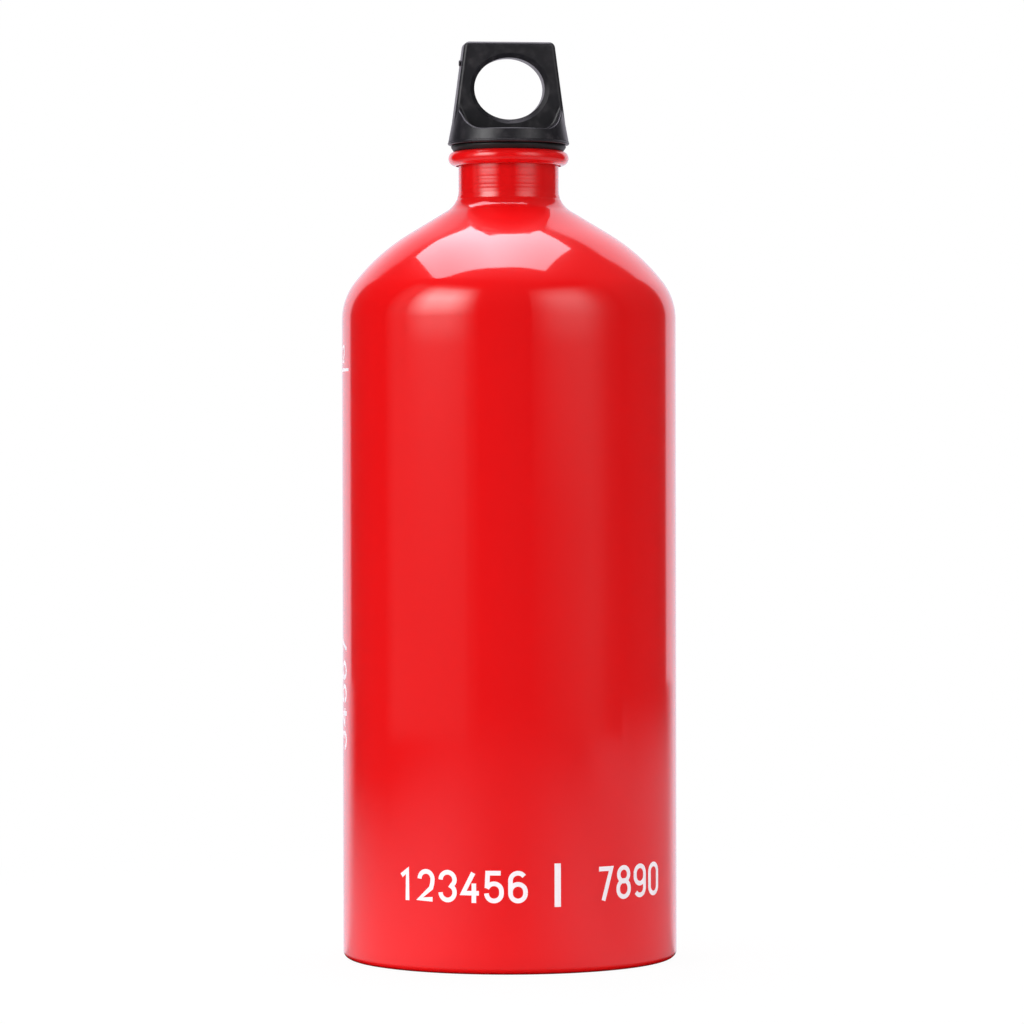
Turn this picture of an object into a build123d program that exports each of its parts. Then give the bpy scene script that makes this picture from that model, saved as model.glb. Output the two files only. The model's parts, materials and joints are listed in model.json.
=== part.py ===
"""Camping fuel bottle: an aluminium can, its screw cap with a carrying loop, and the seal between them.

Millimetres, +Z up. The origin is the centre of the base, on the surface that the bottle stands on.
Looking along +Y shows the front of the bottle.
"""

import os
from math import cos, radians, sin, tan

from build123d import *

# Bottle: straight wall and base
body_diameter = 100.0
body_height = 190.8  # from the ground to where the shoulder starts
body_wall = 0.95
base_wall = 1.2
base_edge_radius = 2.2  # outside corner between the wall and the foot
base_floor_radius = 3.0  # inside corner between the wall and the floor
foot_width = 3.0  # flat ring that the bottle stands on
dome_rise = 6.0  # how far the base is pushed in at its centre
dome_edge_radius = 4.0  # rounding between the foot and the dome

# Bottle: shoulder, two arcs and a cone that run into each other, then the root of the neck
shoulder_low_radius = 18.5
shoulder_low_turn = 37.8  # degrees that the lower arc turns inwards
shoulder_high_radius = 59.2
shoulder_slope = 31.1  # degrees between the cone and the ground
neck_root_radius = 7.4

# Bottle: neck and the lip that is rolled out of it
neck_diameter = 30.0
neck_wall = 1.45
neck_length = 11.5  # from the end of the root rounding to the top of the lip
lip_hollow_radius = 0.78  # radius of the hollow inside the rolled lip
lip_land_depth = 0.1  # how much is faced off the lip to give the seal a flat land

# Seal, wider at its top than at its foot
seal_height = 1.9
seal_foot_reach = 0.65  # from the middle of the lip outwards to the seal's edge
seal_flare = 1.3  # how much further out the seal's edge lies at its top
seal_stem_clearance = 0.3
seal_top_radius = 0.6
seal_foot_radius = 0.4

# Cap: round base
cap_lip_reach = 0.45  # how far the lip stands out past the seal's top
cap_lip_height = 0.95
cap_lip_flat = 0.05  # left between the lip's upper and lower rounding
cap_lip_step = 0.15  # how far the lip stands out from the cone above it
cap_cone_draft = 10.7  # degrees between the cone and the axis
cap_cone_height = 12.5

# Cap: loop plate that rises from the base, with a pocket in front of it and one behind
plate_thickness = 8.0
plate_top_inset = 4.65  # across, from the edge of the cap's lip to the corner of the plate's top
plate_height = 29.75  # from the top of the cap's lip to the top of the plate
plate_draft = 7.6  # degrees between the plate's side and the axis
plate_corner_radius = 1.8
plate_edge_radius = 1.2
pocket_floor_height = 3.2  # from the top of the cap's lip to the pocket's floor
pocket_floor_inset = 5.6  # across, from the edge of the cap's lip to the end of the pocket's floor
pocket_top_reach = 0.66  # how far the pocket's sides lie outside the cone at the cone's top
pocket_corner_radius = 5.0
pocket_root_radius = 1.0
pocket_edge_radius = 0.5

# Cap: oval finger hole
hole_side_inset = 2.95  # across, from the corner of the plate's top to the hole
hole_bar = 4.7  # plate left above the hole
hole_sill = 3.4  # plate left below the hole, above the pocket's floor
hole_rim_bevel = 1.3

# Cap: hollow stem that screws into the neck, and the mark that the mould's gate leaves
stem_clearance = 1.65  # between the stem and the neck's bore, which the two threads share
stem_wall = 2.2
stem_length = 15.9
stem_tip_chamfer = 0.8
stem_roof = 2.4  # plastic left between the stem's bore and the pocket's floor
stem_roof_radius = 1.5
gate_diameter = 1.9
gate_length = 0.55
gate_drop = 6.3  # from the top of the plate
gate_edge_radius = 0.3

# The closed cap stops a little past square to the front
cap_turn = 7.0  # degrees

# Every cut runs this far past what it cuts
overrun = 5.0

body_radius = body_diameter / 2
shoulder_turn = 90 - shoulder_slope
neck_radius = neck_diameter / 2
bore_radius = neck_radius - neck_wall
lip_centre_radius = neck_radius + lip_hollow_radius
lip_radius = lip_hollow_radius + neck_wall
seal_foot_edge = lip_centre_radius + seal_foot_reach
seal_top_edge = seal_foot_edge + seal_flare
cap_lip_edge = seal_top_edge + cap_lip_reach
cone_foot_edge = cap_lip_edge - cap_lip_step
cone_top_edge = cone_foot_edge - cap_cone_height * tan(radians(cap_cone_draft))
plate_top_edge = cap_lip_edge - plate_top_inset
stem_radius = bore_radius - stem_clearance


def shoulder(start_radius, wall, top_radius, root_radius):
    """The shoulder's line from the straight wall to the neck, which lies wall inside the outer one."""
    low = JernArc((start_radius, body_height), (0, 1), shoulder_low_radius - wall, shoulder_low_turn)
    high = JernArc(low @ 1, low % 1, shoulder_high_radius - wall, shoulder_turn - shoulder_low_turn)
    root_reach = root_radius * (1 - cos(radians(shoulder_turn)))
    cone_length = ((high @ 1).X - top_radius - root_reach) / sin(radians(shoulder_turn))
    cone = Line(high @ 1, high @ 1 + (high % 1) * cone_length)
    root = JernArc(cone @ 1, cone % 1, root_radius, -shoulder_turn)
    return [low, high, cone, root]


outer_shoulder = shoulder(body_radius, 0, neck_radius, neck_root_radius)
rim_height = (outer_shoulder[-1] @ 1).Y + neck_length
lip_centre_height = rim_height + lip_land_depth - lip_radius
cap_foot_height = rim_height + seal_height
cap_lip_top = cap_foot_height + cap_lip_height


def revolved(outline):
    """A solid of revolution about the bottle's axis from a face drawn with radius and height."""
    return revolve(Plane.XZ * outline, Axis.Z)


def bottle_shell():
    """The whole can in one piece: domed base, wall, shoulder, neck and the hollow rolled lip."""
    foot_radius = body_radius - base_edge_radius
    dome_radius = foot_radius - foot_width
    inside_radius = body_radius - body_wall
    inner_shoulder = shoulder(inside_radius, body_wall, bore_radius, neck_root_radius + neck_wall)
    lip_centre = (lip_centre_radius, lip_centre_height)
    outside = [
        TangentArc((0, dome_rise), (dome_radius, 0), tangent=(1, 0)),
        Line((dome_radius, 0), (foot_radius, 0)),
        JernArc((foot_radius, 0), (1, 0), base_edge_radius, 90),
        Line((body_radius, base_edge_radius), (body_radius, body_height)),
        *outer_shoulder,
        Line(outer_shoulder[-1] @ 1, (neck_radius, lip_centre_height)),
    ]
    lip = [
        CenterArc(lip_centre, lip_hollow_radius, 180, -270),
        Line(
            (lip_centre_radius, lip_centre_height - lip_hollow_radius),
            (lip_centre_radius, lip_centre_height - lip_radius),
        ),
        CenterArc(lip_centre, lip_radius, -90, 270),
    ]
    inside = [
        Line((bore_radius, lip_centre_height), inner_shoulder[-1] @ 1),
        *inner_shoulder,
        Line((inside_radius, body_height), (inside_radius, base_wall + base_floor_radius)),
        JernArc((inside_radius - base_floor_radius, base_wall), (1, 0), base_floor_radius, 90),
        Line((inside_radius - base_floor_radius, base_wall), (dome_radius, base_wall)),
        TangentArc((0, dome_rise + base_wall), (dome_radius, base_wall), tangent=(1, 0)),
        Line((0, dome_rise + base_wall), (0, dome_rise)),
    ]
    outline = Face(Wire(outside + lip + inside))
    dome_corners = [
        outline.vertices().sort_by_distance((dome_radius, height))[0] for height in (0, base_wall)
    ]
    outline = fillet(dome_corners, dome_edge_radius)
    above_land = Pos(lip_centre_radius, rim_height) * Rectangle(
        2 * lip_radius + overrun, overrun, align=(Align.CENTER, Align.MIN)
    )
    return revolved(outline - above_land)


def seal_ring():
    """The ring between the lip's land and the cap, wider at its top than at its foot."""
    inner_radius = stem_radius + seal_stem_clearance
    outline = Polyline(
        (inner_radius, rim_height),
        (seal_foot_edge, rim_height),
        (seal_top_edge, cap_foot_height),
        (inner_radius, cap_foot_height),
        close=True,
    )
    outline = make_face(outline)
    top_corner = outline.vertices().group_by(Axis.Y)[-1].sort_by(Axis.X)[-1]
    outline = fillet(top_corner, seal_top_radius)
    foot_corner = outline.vertices().group_by(Axis.Y)[0].sort_by(Axis.X)[-1]
    outline = fillet(foot_corner, seal_foot_radius)
    return revolved(outline)


def cap_base():
    """The cap's round base: a rounded lip, and a cone above it with a pocket cut in front and behind."""
    lip = Pos(0, 0, cap_foot_height) * Cylinder(
        cap_lip_edge, cap_lip_height, align=(Align.CENTER, Align.CENTER, Align.MIN)
    )
    lip = fillet(lip.edges().filter_by(GeomType.CIRCLE), (cap_lip_height - cap_lip_flat) / 2)
    cone = Pos(0, 0, cap_lip_top) * Cone(
        cone_foot_edge, cone_top_edge, cap_cone_height, align=(Align.CENTER, Align.CENTER, Align.MIN)
    )
    front_pocket = pocket()
    back_pocket = mirror(front_pocket, Plane.XZ)
    pocketed = cone - front_pocket - back_pocket
    cut_edges = new_edges(cone, front_pocket, back_pocket, combined=pocketed)
    side = pocketed.faces().filter_by(GeomType.CONE)[0]
    return lip + fillet([edge for edge in side.edges() if edge in cut_edges], pocket_edge_radius)


def pocket():
    """What the mould keeps clear in front of the plate: a prism with a U-shaped lower edge."""
    floor = cap_lip_top + pocket_floor_height
    top = cap_lip_top + cap_cone_height + overrun
    floor_edge = cap_lip_edge - pocket_floor_inset
    lean = (cone_top_edge + pocket_top_reach - floor_edge) / (cap_cone_height - pocket_floor_height)
    top_edge = floor_edge + (top - floor) * lean
    outline = make_face(
        Polyline((-floor_edge, floor), (floor_edge, floor), (top_edge, top), (-top_edge, top), close=True)
    )
    outline = fillet(outline.vertices().group_by(Axis.Y)[0], pocket_corner_radius)
    reach = cap_lip_edge + overrun
    block = extrude(Plane.XZ.offset(plate_thickness / 2) * outline, reach - plate_thickness / 2)
    back_edges = block.faces().sort_by(Axis.Y)[-1].edges()
    return fillet(back_edges, pocket_root_radius)


def loop_plate():
    """The upright plate with rounded edges, drawn down into the base that it grows out of."""
    foot = cap_lip_top + pocket_floor_height / 2
    top = cap_lip_top + plate_height
    foot_edge = plate_top_edge + (top - foot) * tan(radians(plate_draft))
    outline = make_face(
        Polyline((-foot_edge, foot), (foot_edge, foot), (plate_top_edge, top), (-plate_top_edge, top), close=True)
    )
    outline = fillet(outline.vertices().group_by(Axis.Y)[-1], plate_corner_radius)
    plate = extrude(Plane.XZ * outline, plate_thickness / 2, both=True)
    faces = plate.faces().sort_by(Axis.Y)
    rounded = [edge for face in (faces[0], faces[-1]) for edge in face.edges().sort_by(Axis.Z)[1:]]
    return fillet(rounded, plate_edge_radius)


def finger_hole():
    """The oval hole's cutter, which runs past both faces of the plate."""
    bottom = cap_lip_top + pocket_floor_height + hole_sill
    top = cap_lip_top + plate_height - hole_bar
    oval = Pos(0, (bottom + top) / 2) * Ellipse(plate_top_edge - hole_side_inset, (top - bottom) / 2)
    return extrude(Plane.XZ * oval, plate_thickness / 2 + overrun, both=True)


def stem():
    """The hollow stem below the base, with a chamfered tip."""
    outside = Pos(0, 0, cap_foot_height) * Cylinder(
        stem_radius, stem_length, align=(Align.CENTER, Align.CENTER, Align.MAX)
    )
    return chamfer(outside.edges().sort_by(Axis.Z)[0], stem_tip_chamfer)


def stem_bore():
    """The core that hollows the stem from below."""
    top = cap_lip_top + pocket_floor_height - stem_roof
    depth = top - cap_foot_height + stem_length
    core = Pos(0, 0, top) * Cylinder(
        stem_radius - stem_wall, depth, align=(Align.CENTER, Align.CENTER, Align.MAX)
    )
    return fillet(core.edges().sort_by(Axis.Z)[-1], stem_roof_radius)


def gate_mark():
    """The small nub on the plate's side where the mould was filled."""
    height = cap_lip_top + plate_height - gate_drop
    side = plate_top_edge + gate_drop * tan(radians(plate_draft))
    nub = Pos(-side - gate_length, 0, height) * Rot(0, 90, 0) * Cylinder(
        gate_diameter / 2, gate_length + plate_edge_radius, align=(Align.CENTER, Align.CENTER, Align.MIN)
    )
    return fillet(nub.edges().sort_by(Axis.X)[0], gate_edge_radius)


def screw_cap():
    """The one-piece cap: base, loop plate with its finger hole, and the hollow stem."""
    loop = cap_base() + loop_plate() - finger_hole()
    rims = loop.edges().filter_by(
        lambda edge: edge.is_closed and edge.bounding_box().min.Z > cap_lip_top + pocket_floor_height
    )
    loop = chamfer(rims, hole_rim_bevel)
    cap = loop + gate_mark() + stem() - stem_bore()
    return Rot(0, 0, cap_turn) * cap


os.makedirs("parts", exist_ok=True)
for name, shape in {
    "bottle_shell": bottle_shell(),
    "seal_ring": seal_ring(),
    "screw_cap": screw_cap(),
}.items():
    export_step(shape, f"parts/{name}.step")
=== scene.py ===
"""Dresses the camping fuel bottle: enamelled can, moulded screw cap, rubber seal, screw threads and print.

Metres, +Z up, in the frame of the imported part. The origin is the centre of the base, and looking along +Y
shows the front of the bottle.
"""

import json
import logging
import math
from dataclasses import dataclass, field
from enum import Enum, IntEnum

import bmesh
import bpy
from mathutils import Euler, Matrix, Vector

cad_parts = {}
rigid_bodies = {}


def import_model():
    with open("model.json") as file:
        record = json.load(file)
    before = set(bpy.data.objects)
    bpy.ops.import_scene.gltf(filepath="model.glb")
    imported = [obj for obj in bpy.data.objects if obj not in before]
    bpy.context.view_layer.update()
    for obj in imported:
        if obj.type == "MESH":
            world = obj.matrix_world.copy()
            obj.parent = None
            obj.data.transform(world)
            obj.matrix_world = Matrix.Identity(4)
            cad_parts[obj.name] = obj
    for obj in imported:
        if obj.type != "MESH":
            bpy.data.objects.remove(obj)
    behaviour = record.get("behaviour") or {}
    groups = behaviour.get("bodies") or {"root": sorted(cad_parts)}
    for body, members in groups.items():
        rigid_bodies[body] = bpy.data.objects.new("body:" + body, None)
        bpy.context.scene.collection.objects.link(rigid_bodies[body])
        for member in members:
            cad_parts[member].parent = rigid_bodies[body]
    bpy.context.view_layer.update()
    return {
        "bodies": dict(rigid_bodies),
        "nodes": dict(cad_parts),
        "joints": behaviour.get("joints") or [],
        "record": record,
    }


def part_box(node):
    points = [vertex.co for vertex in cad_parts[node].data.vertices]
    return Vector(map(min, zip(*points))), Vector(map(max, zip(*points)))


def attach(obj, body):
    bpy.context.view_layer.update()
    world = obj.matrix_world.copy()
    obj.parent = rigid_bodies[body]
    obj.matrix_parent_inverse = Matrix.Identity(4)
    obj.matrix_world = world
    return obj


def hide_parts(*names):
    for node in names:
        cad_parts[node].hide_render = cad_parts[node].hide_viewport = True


Pair = tuple[float, float]
Colour = tuple[float, float, float]
Points = tuple[Pair, ...]

MM = 0.001
ON_AXIS = 1e-7  # a radius below this lies on the axis
SHARP_EDGE = math.radians(35.0)  # an edge that turns further stays sharp
WHITE: Colour = (1.0, 1.0, 1.0)
MIRROR_TINT: Colour = (1.05, 1.0, 1.13)  # of the studio's white surfaces, in gloss
LEAST_REACH = 0.01  # a distance that directions are divided by is never less


class Body(Enum):
    """The bodies of the part that pieces ride on."""

    BOTTLE = "bottle"
    SEAL = "seal"
    CAP = "cap"


class Slot(Enum):
    """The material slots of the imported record."""

    ENAMEL = "red_enamel_on_aluminium"
    RUBBER = "black_rubber"
    PLASTIC = "black_plastic"


class CanSurface(IntEnum):
    """The surfaces of the can, in the order of its finishes."""

    OUTSIDE = 0
    INSIDE = 1


class Side(IntEnum):
    """The sides of the camera, as the sign of X."""

    LEFT = -1
    RIGHT = 1


class Wire:
    """A shader socket with arithmetic: an expression on wires adds the Math nodes that work it out."""

    def __init__(self, tree: "ShaderTree", socket: bpy.types.NodeSocket) -> None:
        """Wraps one output socket of a tree."""
        self.tree = tree
        self.socket = socket

    def math(self, operation: str, *others: "Wire | float") -> "Wire":
        """Adds one Math node with this wire first.

        Args:
            operation: the Math node's operation.
            others: its further operands.

        Returns:
            The node's result.
        """
        operands = dict(enumerate((self, *others)))
        return self.tree.node("ShaderNodeMath", {"operation": operation}, operands)[0]

    def __add__(self, other: "Wire | float") -> "Wire":
        """Sum."""
        return self.math("ADD", other)

    __radd__ = __add__

    def __mul__(self, other: "Wire | float") -> "Wire":
        """Product."""
        return self.math("MULTIPLY", other)

    __rmul__ = __mul__

    def __sub__(self, other: "Wire | float") -> "Wire":
        """Difference."""
        return self.math("SUBTRACT", other)

    def __rsub__(self, other: float) -> "Wire":
        """Difference with this wire taken from a number."""
        return self.math("MULTIPLY", -1.0) + other

    def __truediv__(self, other: "Wire | float") -> "Wire":
        """Quotient."""
        return self.math("DIVIDE", other)

    def at_least(self, other: "Wire | float") -> "Wire":
        """The larger of this value and another."""
        return self.math("MAXIMUM", other)

    def clamp(self) -> "Wire":
        """The value, kept between 0 and 1."""
        return self.at_least(0.0).math("MINIMUM", 1.0)

    def size(self) -> "Wire":
        """The value without its sign."""
        return self.math("ABSOLUTE")

    def angle_over(self, other: "Wire") -> "Wire":
        """The angle in degrees that has this value opposite and another beside it."""
        return self.math("ARCTAN2", other) * math.degrees(1.0)

    def between(self, low: "Wire | float", high: "Wire | float") -> "Wire":
        """What lies between two values, by this wire as a share."""
        return self * (high - low) + low

    def step(self, start: float, end: float) -> "Wire":
        """A smooth step.

        Args:
            start: the value at which the step is still 0.
            end: the value at which it has reached 1.

        Returns:
            The step.
        """
        share = ((self - start) / (end - start)).clamp()
        return share * share * (3.0 - 2.0 * share)


class NodeOutputs:
    """The outputs of a node, by name or by number."""

    def __init__(self, tree: "ShaderTree", node: bpy.types.Node) -> None:
        """Wraps one node."""
        self.tree = tree
        self.node = node

    def __getitem__(self, key: str | int) -> Wire:
        """One output as a wire."""
        return Wire(self.tree, self.node.outputs[key])


class ShaderTree:
    """A node tree of a material or of the world, to which nodes are added by type."""

    def __init__(self, tree: bpy.types.NodeTree) -> None:
        """Empties a node tree, to be filled anew."""
        tree.nodes.clear()
        self.tree = tree

    def node(self, kind: str, settings: dict | None = None, sockets: dict | None = None) -> NodeOutputs:
        """Adds a node.

        Args:
            kind: the node's type.
            settings: its properties, set first. The setting stops gives a ramp's stops.
            sockets: values or wires for its inputs, by name or number.

        Returns:
            The node's outputs.
        """
        node = self.tree.nodes.new(kind)
        for name, value in (settings or {}).items():
            if name == "stops":
                self._set_stops(node.color_ramp, value)
            else:
                setattr(node, name, value)
        for name, value in (sockets or {}).items():
            if isinstance(value, Wire):
                self.tree.links.new(value.socket, node.inputs[name])
            else:
                node.inputs[name].default_value = value
        return NodeOutputs(self, node)

    @staticmethod
    def _set_stops(ramp: bpy.types.ColorRamp, stops: list[tuple[float, tuple]]) -> None:
        """Gives a ramp its stops.

        Args:
            ramp: the ramp, with two stops of its own.
            stops: a position and a colour for each.
        """
        while len(ramp.elements) < len(stops):
            ramp.elements.new(1.0)
        for element, (position, colour) in zip(ramp.elements, stops):
            element.position = position
            element.color = colour

    @staticmethod
    def _full(colour: Colour | Wire) -> tuple | Wire:
        """A colour as a socket takes it: a wire as it is, and three numbers with an alpha of 1."""
        return colour if isinstance(colour, Wire) else (*colour, 1.0)

    def place(self) -> Wire:
        """The point of the surface in the object's own coordinates, in metres."""
        return self.node("ShaderNodeTexCoord")["Object"]

    def parts(self, vector: Wire) -> tuple[Wire, Wire, Wire]:
        """The three components of a vector."""
        split = self.node("ShaderNodeSeparateXYZ", None, {0: vector})
        return split[0], split[1], split[2]

    def joined(self, x: Wire | float, y: Wire | float, z: Wire | float) -> Wire:
        """A vector from its three components."""
        return self.node("ShaderNodeCombineXYZ", None, {0: x, 1: y, 2: z})[0]

    @staticmethod
    def radius(x: Wire, y: Wire) -> Wire:
        """The distance from the Z axis."""
        return (x * x + y * y).math("SQRT")

    def rays(self) -> tuple[Wire, Wire]:
        """Whether the camera looks at the surface straight, and whether it does so through gloss or glass."""
        path = self.node("ShaderNodeLightPath")
        return path["Is Camera Ray"], path["Is Glossy Ray"].at_least(path["Is Transmission Ray"])

    def noise(self, where: Wire, grain: float, detail: float = 2.0, roughness: float = 0.5) -> Wire:
        """Noise from 0 to 1.

        Args:
            where: the point.
            grain: the size of its blots in metres.
            detail: how many finer layers it has.
            roughness: how strong they are.

        Returns:
            The noise.
        """
        sockets = {"Vector": where, "Scale": 1.0 / grain, "Detail": detail, "Roughness": roughness}
        return self.node("ShaderNodeTexNoise", None, sockets)["Fac"]

    def graph(self, value: Wire, points: Points) -> Wire:
        """A function given by points that are joined by straight lines.

        Args:
            value: the function's argument.
            points: pairs of an argument and the result there, in rising order.

        Returns:
            The result, which stays level outside the points.
        """
        first, last = points[0][0], points[-1][0]
        peak = max(result for _, result in points)
        stops = [((at - first) / (last - first), (result / peak,) * 3 + (1.0,)) for at, result in points]
        share = (value - first) / (last - first)
        return self.node("ShaderNodeValToRGB", {"stops": stops}, {"Fac": share})["Color"] * peak

    def blend(self, share: Wire, first: Colour | Wire, second: Colour | Wire) -> Wire:
        """A colour between two others."""
        colours = {0: share, 6: self._full(first), 7: self._full(second)}
        return self.node("ShaderNodeMix", {"data_type": "RGBA"}, colours)[2]

    def white(self, mirrored: Wire) -> Wire:
        """The colour of the studio's white surfaces, which have a faint tint in gloss."""
        return self.blend(mirrored, WHITE, MIRROR_TINT)

    def bump(self, height: Wire, depth: float) -> Wire:
        """A normal from a height map.

        Args:
            height: the height from 0 to 1.
            depth: what a height of 1 stands for, in metres.

        Returns:
            The normal.
        """
        return self.node("ShaderNodeBump", None, {"Height": height, "Distance": depth, "Strength": 1.0})[0]

    def light(self, colour: Colour | Wire, strength: Wire) -> Wire:
        """A shader that gives light."""
        return self.node("ShaderNodeEmission", None, {"Color": self._full(colour), "Strength": strength})[0]

    def end(self, surface: Wire, output: str = "ShaderNodeOutputMaterial") -> None:
        """Ends the tree with a shader on its output."""
        self.node(output, None, {"Surface": surface})

    def principled(self, sockets: dict) -> None:
        """Ends the tree with one Principled shader."""
        self.end(self.node("ShaderNodeBsdfPrincipled", None, sockets)["BSDF"])


def new_material(name: str) -> tuple[bpy.types.Material, ShaderTree]:
    """Makes a material.

    Args:
        name: its name.

    Returns:
        The material and its empty tree.
    """
    material = bpy.data.materials.new(name)
    material.use_nodes = True
    return material, ShaderTree(material.node_tree)


@dataclass(frozen=True)
class RedEnamel:
    """Stoved red gloss enamel over spun aluminium: fine rings of the spinning show through it, and its lowest
    stretch at the foot is painted darker as shade.
    """

    colour: Colour = (0.81, 0.0032, 0.0044)
    deep_colour: Colour = (0.79, 0.0027, 0.0038)
    # painted shade: the enamel turns this dark colour below foot_height, where the base's rounding faces the
    # table
    painted_foot_shade_colour: Colour = (0.30, 0.002, 0.003)
    foot_height: float = 0.7 * MM
    roughness: Pair = (0.28, 0.32)
    specular: float = 0.1  # of the colour coat, under the gloss
    coat_roughness: float = 0.06
    coat_ior: float = 1.65
    cloud_size: float = 30 * MM
    peel_size: float = 1.6 * MM
    peel_depth: float = 0.004 * MM
    ring_pitch: float = 0.8 * MM
    ring_depth: float = 0.0022 * MM
    ring_stretch: float = 0.02  # how much the rings vary round the axis, against along it
    shoulder_depth: float = 5.0  # how many times deeper the rings are on the shoulder
    shoulder_heights: Pair = (196 * MM, 206 * MM)

    def material(self) -> bpy.types.Material:
        """Mixes the finish.

        Returns:
            The finish as a material.
        """
        material, tree = new_material("red_enamel")
        where = tree.place()
        x, y, z = tree.parts(where)
        clouds = tree.noise(where, self.cloud_size, detail=3.0)
        peel = tree.noise(where, self.peel_size, detail=1.0)
        ring_place = tree.joined(x * self.ring_stretch, y * self.ring_stretch, z - tree.radius(x, y))
        rings = tree.noise(ring_place, self.ring_pitch, detail=2.0)
        deeper = z.step(*self.shoulder_heights).between(1.0, self.shoulder_depth)
        height = peel * self.peel_depth + rings * deeper * self.ring_depth
        depth = self.peel_depth + self.ring_depth
        enamel = tree.blend(clouds, self.deep_colour, self.colour)
        # painted shade at the foot: the colour blends from the dark foot colour up to the enamel over
        # foot_height
        above = (z / self.foot_height).clamp()
        tree.principled(
            {
                "Base Color": tree.blend(above, self.painted_foot_shade_colour, enamel),
                "Roughness": clouds.between(*self.roughness),
                "Specular IOR Level": self.specular,
                "Coat Weight": 1.0,
                "Coat Roughness": self.coat_roughness,
                "Coat IOR": self.coat_ior,
                "Normal": tree.bump(height / depth, depth),
            }
        )
        return material


@dataclass(frozen=True)
class BareAluminium:
    """The inside of the can: drawn aluminium under a clear lacquer, with fine lines along the draw."""

    colour: Colour = (0.80, 0.79, 0.77)
    dull_colour: Colour = (0.66, 0.65, 0.64)
    roughness: Pair = (0.26, 0.38)
    streak_width: float = 0.5 * MM
    streak_stretch: float = 0.03  # how much the lines vary along the draw, against across it
    streak_depth: float = 0.004 * MM

    def material(self) -> bpy.types.Material:
        """Mixes the finish.

        Returns:
            The finish as a material.
        """
        material, tree = new_material("lacquered_aluminium")
        x, y, z = tree.parts(tree.place())
        streaks = tree.noise(tree.joined(x, y, z * self.streak_stretch), self.streak_width, detail=3.0)
        tree.principled(
            {
                "Base Color": tree.blend(streaks, self.dull_colour, self.colour),
                "Metallic": 1.0,
                "Roughness": streaks.between(*self.roughness),
                "Normal": tree.bump(streaks, self.streak_depth),
            }
        )
        return material


@dataclass(frozen=True)
class MouldedPlastic:
    """Black polypropylene from an eroded mould: fine grain, cloudy gloss and a few light rubs."""

    colour: Colour = (0.013, 0.0125, 0.0155)
    rubbed_colour: Colour = (0.034, 0.031, 0.035)
    rub_levels: Pair = (0.45, 0.75)  # of the clouds, between which a rub sets in
    least_roughness: float = 0.21
    cloud_roughness: float = 0.20
    grain_roughness: float = 0.08
    grain_size: float = 0.35 * MM
    grain_depth: float = 0.012 * MM
    cloud_size: float = 3.5 * MM

    def material(self) -> bpy.types.Material:
        """Mixes the finish.

        Returns:
            The finish as a material.
        """
        material, tree = new_material("black_moulded_plastic")
        where = tree.place()
        clouds = tree.noise(where, self.cloud_size, detail=4.0, roughness=0.6)
        grain = tree.noise(where, self.grain_size, detail=2.0, roughness=0.6)
        rubs = clouds.step(*self.rub_levels)
        uneven = clouds * self.cloud_roughness + grain * self.grain_roughness
        tree.principled(
            {
                "Base Color": tree.blend(rubs, self.colour, self.rubbed_colour),
                "Roughness": uneven + self.least_roughness,
                "Normal": tree.bump(grain, self.grain_depth),
            }
        )
        return material


@dataclass(frozen=True)
class SealRubber:
    """Black fuel-proof rubber with a dull bloom."""

    colour: Colour = (0.006, 0.007, 0.0065)
    bloom_colour: Colour = (0.014, 0.017, 0.016)
    roughness: Pair = (0.40, 0.56)
    bloom_size: float = 1.4 * MM
    grain_size: float = 0.2 * MM
    grain_depth: float = 0.006 * MM

    def material(self) -> bpy.types.Material:
        """Mixes the finish.

        Returns:
            The finish as a material.
        """
        material, tree = new_material("black_seal_rubber")
        where = tree.place()
        bloom = tree.noise(where, self.bloom_size, detail=3.0)
        grain = tree.noise(where, self.grain_size, detail=1.0)
        tree.principled(
            {
                "Base Color": tree.blend(bloom, self.colour, self.bloom_colour),
                "Roughness": bloom.between(*self.roughness),
                "Normal": tree.bump(grain, self.grain_depth),
            }
        )
        return material


@dataclass(frozen=True)
class WhiteInk:
    """Screen-printed white ink, a little uneven where the mesh of the screen laid it down."""

    colour: Colour = (0.95, 0.90, 0.935)
    thin_colour: Colour = (0.92, 0.78, 0.82)
    roughness: Pair = (0.33, 0.43)
    patch_size: float = 0.7 * MM
    patch_levels: Pair = (0.15, 0.45)  # of the noise, between which the ink goes from thin to full

    def material(self) -> bpy.types.Material:
        """Mixes the finish.

        Returns:
            The finish as a material.
        """
        material, tree = new_material("white_ink")
        patches = tree.noise(tree.place(), self.patch_size, detail=3.0)
        tree.principled(
            {
                "Base Color": tree.blend(patches.step(*self.patch_levels), self.thin_colour, self.colour),
                "Roughness": patches.between(*self.roughness),
            }
        )
        return material


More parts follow.
